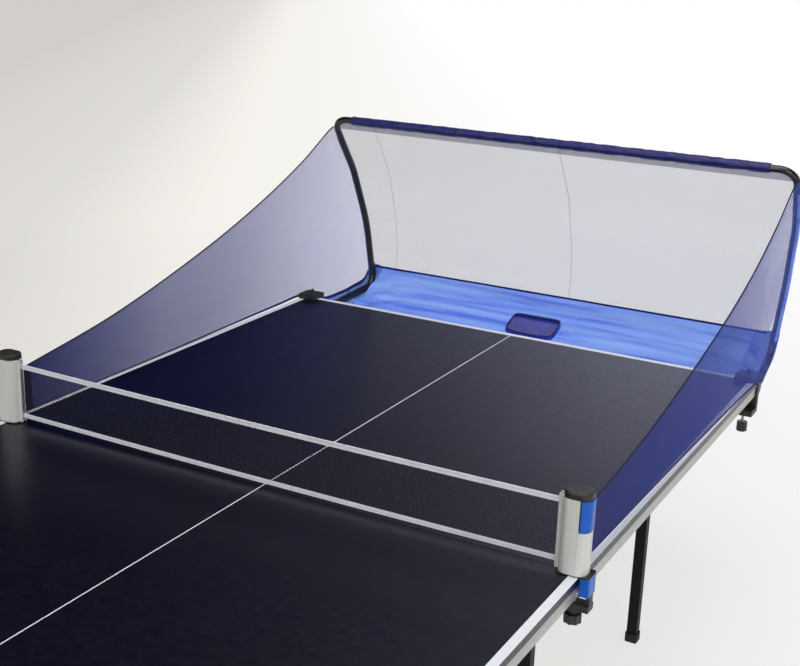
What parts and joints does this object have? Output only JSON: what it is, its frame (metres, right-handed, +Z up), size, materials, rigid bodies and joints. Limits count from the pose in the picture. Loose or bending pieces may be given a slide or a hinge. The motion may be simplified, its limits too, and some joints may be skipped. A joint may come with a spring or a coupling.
{
  "type": "ping pong table",
  "caption": "Folding table tennis table in two halves with a clamp-on retractable net and a ball-catch net with side wings and a pocket on a bent tube frame at the far end.",
  "frame": {"origin": "on the floor under the middle of the object's overall length and width", "axes": "+X across the table, +Y along it from the player's end to the catch net, +Z up"},
  "size_m": [1.5704, 3.1176, 1.3491],
  "materials": {
    "table_top": "satin lacquer",
    "rail_steel": "galvanised",
    "black_paint": "satin",
    "zinc_steel": "zinc plated",
    "black_rubber": "matte",
    "post_aluminium": "satin anodised",
    "black_plastic": "fine grain",
    "blue_plastic": "gloss",
    "net_cord": "knitted mesh",
    "white_tape": "woven tape",
    "blue_cloth": "nylon sheen",
    "navy_cloth": "woven",
    "wing_mesh": "sheer mesh",
    "back_mesh": "sheer mesh",
    "edge_cord": "braided"
  },
  "bodies": {
    "table": {"back_net": "back_mesh", "ball_pocket": "navy_cloth", "brace_guides": "black_paint", "catch_top_tube": "black_paint", "far_cross_rails": "rail_steel", "far_side_rails": "rail_steel", "far_top": "table_top", "joining_bolts": "zinc_steel", "joining_plates": "zinc_steel", "left_catch_arm": "black_paint", "left_catch_clamp": "black_plastic", "left_clamp_block": "blue_plastic", "left_clamp_jaw": "black_paint", "left_post_housing": "post_aluminium", "left_wing_net": "wing_mesh", "leg_brackets": "black_paint", "leg_pivot_bolts": "zinc_steel", "near_cross_rails": "rail_steel", "near_side_rails": "rail_steel", "near_top": "table_top", "net_bottom_tape": "white_tape", "net_mesh": "net_cord", "net_top_tape": "white_tape", "post_bases": "black_paint", "post_caps": "black_plastic", "right_catch_arm": "black_paint", "right_catch_clamp": "black_plastic", "right_clamp_block": "blue_plastic", "right_clamp_jaw": "black_paint", "right_post_housing": "post_aluminium", "right_wing_net": "wing_mesh", "roller_spindles": "zinc_steel", "top_sleeve": "navy_cloth", "trough": "blue_cloth", "wing_edge_cords": "edge_cord", "wing_hooks": "black_plastic"},
    "near_end_leg_frame": {"near_end_legs": "black_paint", "near_end_feet": "black_rubber"},
    "near_end_brace_frame": {"near_end_brace": "black_paint"},
    "near_net_leg_frame": {"near_net_legs": "black_paint", "near_net_feet": "black_rubber"},
    "near_net_brace_frame": {"near_net_brace": "black_paint"},
    "far_net_leg_frame": {"far_net_legs": "black_paint", "far_net_feet": "black_rubber"},
    "far_net_brace_frame": {"far_net_brace": "black_paint"},
    "far_end_leg_frame": {"far_end_legs": "black_paint", "far_end_feet": "black_rubber"},
    "far_end_brace_frame": {"far_end_brace": "black_paint"},
    "left_button": {"left_release_button": "blue_plastic"},
    "left_roller": {"left_net_roller": "black_plastic"},
    "left_clamp_pad_foot": {"left_clamp_pad": "black_rubber"},
    "left_clamp_hand_screw": {"left_clamp_screw": "black_plastic"},
    "left_catch_pad_foot": {"left_catch_pad": "black_rubber"},
    "left_catch_hand_screw": {"left_catch_screw": "black_plastic"},
    "right_button": {"right_release_button": "blue_plastic"},
    "right_roller": {"right_net_roller": "black_plastic"},
    "right_clamp_pad_foot": {"right_clamp_pad": "black_rubber"},
    "right_clamp_hand_screw": {"right_clamp_screw": "black_plastic"},
    "right_catch_pad_foot": {"right_catch_pad": "black_rubber"},
    "right_catch_hand_screw": {"right_catch_screw": "black_plastic"}
  },
  "joints": [
    {"name": "near_end_leg_fold", "type": "hinge", "parent": "table", "child": "near_end_leg_frame", "pos_m": [0, -1.2765, 0.715], "axis": [1, 0, 0], "range_deg": [0, 90]},
    {"name": "near_end_brace_fold", "type": "hinge", "parent": "near_end_leg_frame", "child": "near_end_brace_frame", "pos_m": [0, -1.2765, 0.515], "axis": [1, 0, 0], "range_deg": [-45, 0]},
    {"name": "near_net_leg_fold", "type": "hinge", "parent": "table", "child": "near_net_leg_frame", "pos_m": [0, -0.4555, 0.677], "axis": [-1, 0, 0], "range_deg": [0, 90]},
    {"name": "near_net_brace_fold", "type": "hinge", "parent": "near_net_leg_frame", "child": "near_net_brace_frame", "pos_m": [0, -0.4555, 0.477], "axis": [-1, 0, 0], "range_deg": [-45, 0]},
    {"name": "far_net_leg_fold", "type": "hinge", "parent": "table", "child": "far_net_leg_frame", "pos_m": [0, 0.0745, 0.677], "axis": [1, 0, 0], "range_deg": [0, 90]},
    {"name": "far_net_brace_fold", "type": "hinge", "parent": "far_net_leg_frame", "child": "far_net_brace_frame", "pos_m": [0, 0.0745, 0.477], "axis": [1, 0, 0], "range_deg": [-45, 0]},
    {"name": "far_end_leg_fold", "type": "hinge", "parent": "table", "child": "far_end_leg_frame", "pos_m": [0, 0.8955, 0.715], "axis": [-1, 0, 0], "range_deg": [0, 90]},
    {"name": "far_end_brace_fold", "type": "hinge", "parent": "far_end_leg_frame", "child": "far_end_brace_frame", "pos_m": [0, 0.8955, 0.515], "axis": [-1, 0, 0], "range_deg": [-45, 0]},
    {"name": "left_button_press", "type": "slide", "parent": "table", "child": "left_button", "axis": [1, 0, 0], "range_m": [0, 0.003], "stiffness_N_per_m": 400},
    {"name": "left_roller_turn", "type": "hinge", "parent": "table", "child": "left_roller", "pos_m": [-0.745, -0.1797, 0.8425], "axis": [0, 0, -1], "range_deg": [0, 3600]},
    {"name": "left_clamp_pad_slide", "type": "slide", "parent": "table", "child": "left_clamp_pad_foot", "axis": [0, 0, -1], "range_m": [0, 0.00625]},
    {"name": "left_clamp_screw_turn", "type": "hinge", "parent": "left_clamp_pad_foot", "child": "left_clamp_hand_screw", "pos_m": [-0.7495, -0.1905, 0.69], "axis": [0, 0, -1], "range_deg": [0, 1800]},
    {"name": "left_catch_pad_slide", "type": "slide", "parent": "table", "child": "left_catch_pad_foot", "axis": [0, 0, -1], "range_m": [0, 0.015]},
    {"name": "left_catch_screw_turn", "type": "hinge", "parent": "left_catch_pad_foot", "child": "left_catch_hand_screw", "pos_m": [-0.735, 1.1665, 0.668], "axis": [0, 0, -1], "range_deg": [0, 4320]},
    {"name": "right_button_press", "type": "slide", "parent": "table", "child": "right_button", "axis": [-1, 0, 0], "range_m": [0, 0.003], "stiffness_N_per_m": 400},
    {"name": "right_roller_turn", "type": "hinge", "parent": "table", "child": "right_roller", "pos_m": [0.745, -0.1797, 0.8425], "axis": [0, 0, 1], "range_deg": [0, 3600]},
    {"name": "right_clamp_pad_slide", "type": "slide", "parent": "table", "child": "right_clamp_pad_foot", "axis": [0, 0, -1], "range_m": [0, 0.00625]},
    {"name": "right_clamp_screw_turn", "type": "hinge", "parent": "right_clamp_pad_foot", "child": "right_clamp_hand_screw", "pos_m": [0.7495, -0.1905, 0.69], "axis": [0, 0, -1], "range_deg": [0, 1800]},
    {"name": "right_catch_pad_slide", "type": "slide", "parent": "table", "child": "right_catch_pad_foot", "axis": [0, 0, -1], "range_m": [0, 0.015]},
    {"name": "right_catch_screw_turn", "type": "hinge", "parent": "right_catch_pad_foot", "child": "right_catch_hand_screw", "pos_m": [0.735, 1.1665, 0.668], "axis": [0, 0, -1], "range_deg": [0, 4320]}
  ],
  "couplings": [
    {"joint": "near_end_brace_fold", "follows": "near_end_leg_fold", "ratio": -0.5},
    {"joint": "near_net_brace_fold", "follows": "near_net_leg_fold", "ratio": -0.5},
    {"joint": "far_net_brace_fold", "follows": "far_net_leg_fold", "ratio": -0.5},
    {"joint": "far_end_brace_fold", "follows": "far_end_leg_fold", "ratio": -0.5},
    {"joint": "left_clamp_screw_turn", "follows": "left_clamp_pad_slide", "rad_per_m": 5026.5},
    {"joint": "left_catch_screw_turn", "follows": "left_catch_pad_slide", "rad_per_m": 5026.5},
    {"joint": "right_clamp_screw_turn", "follows": "right_clamp_pad_slide", "rad_per_m": 5026.5},
    {"joint": "right_catch_screw_turn", "follows": "right_catch_pad_slide", "rad_per_m": 5026.5}
  ]
}
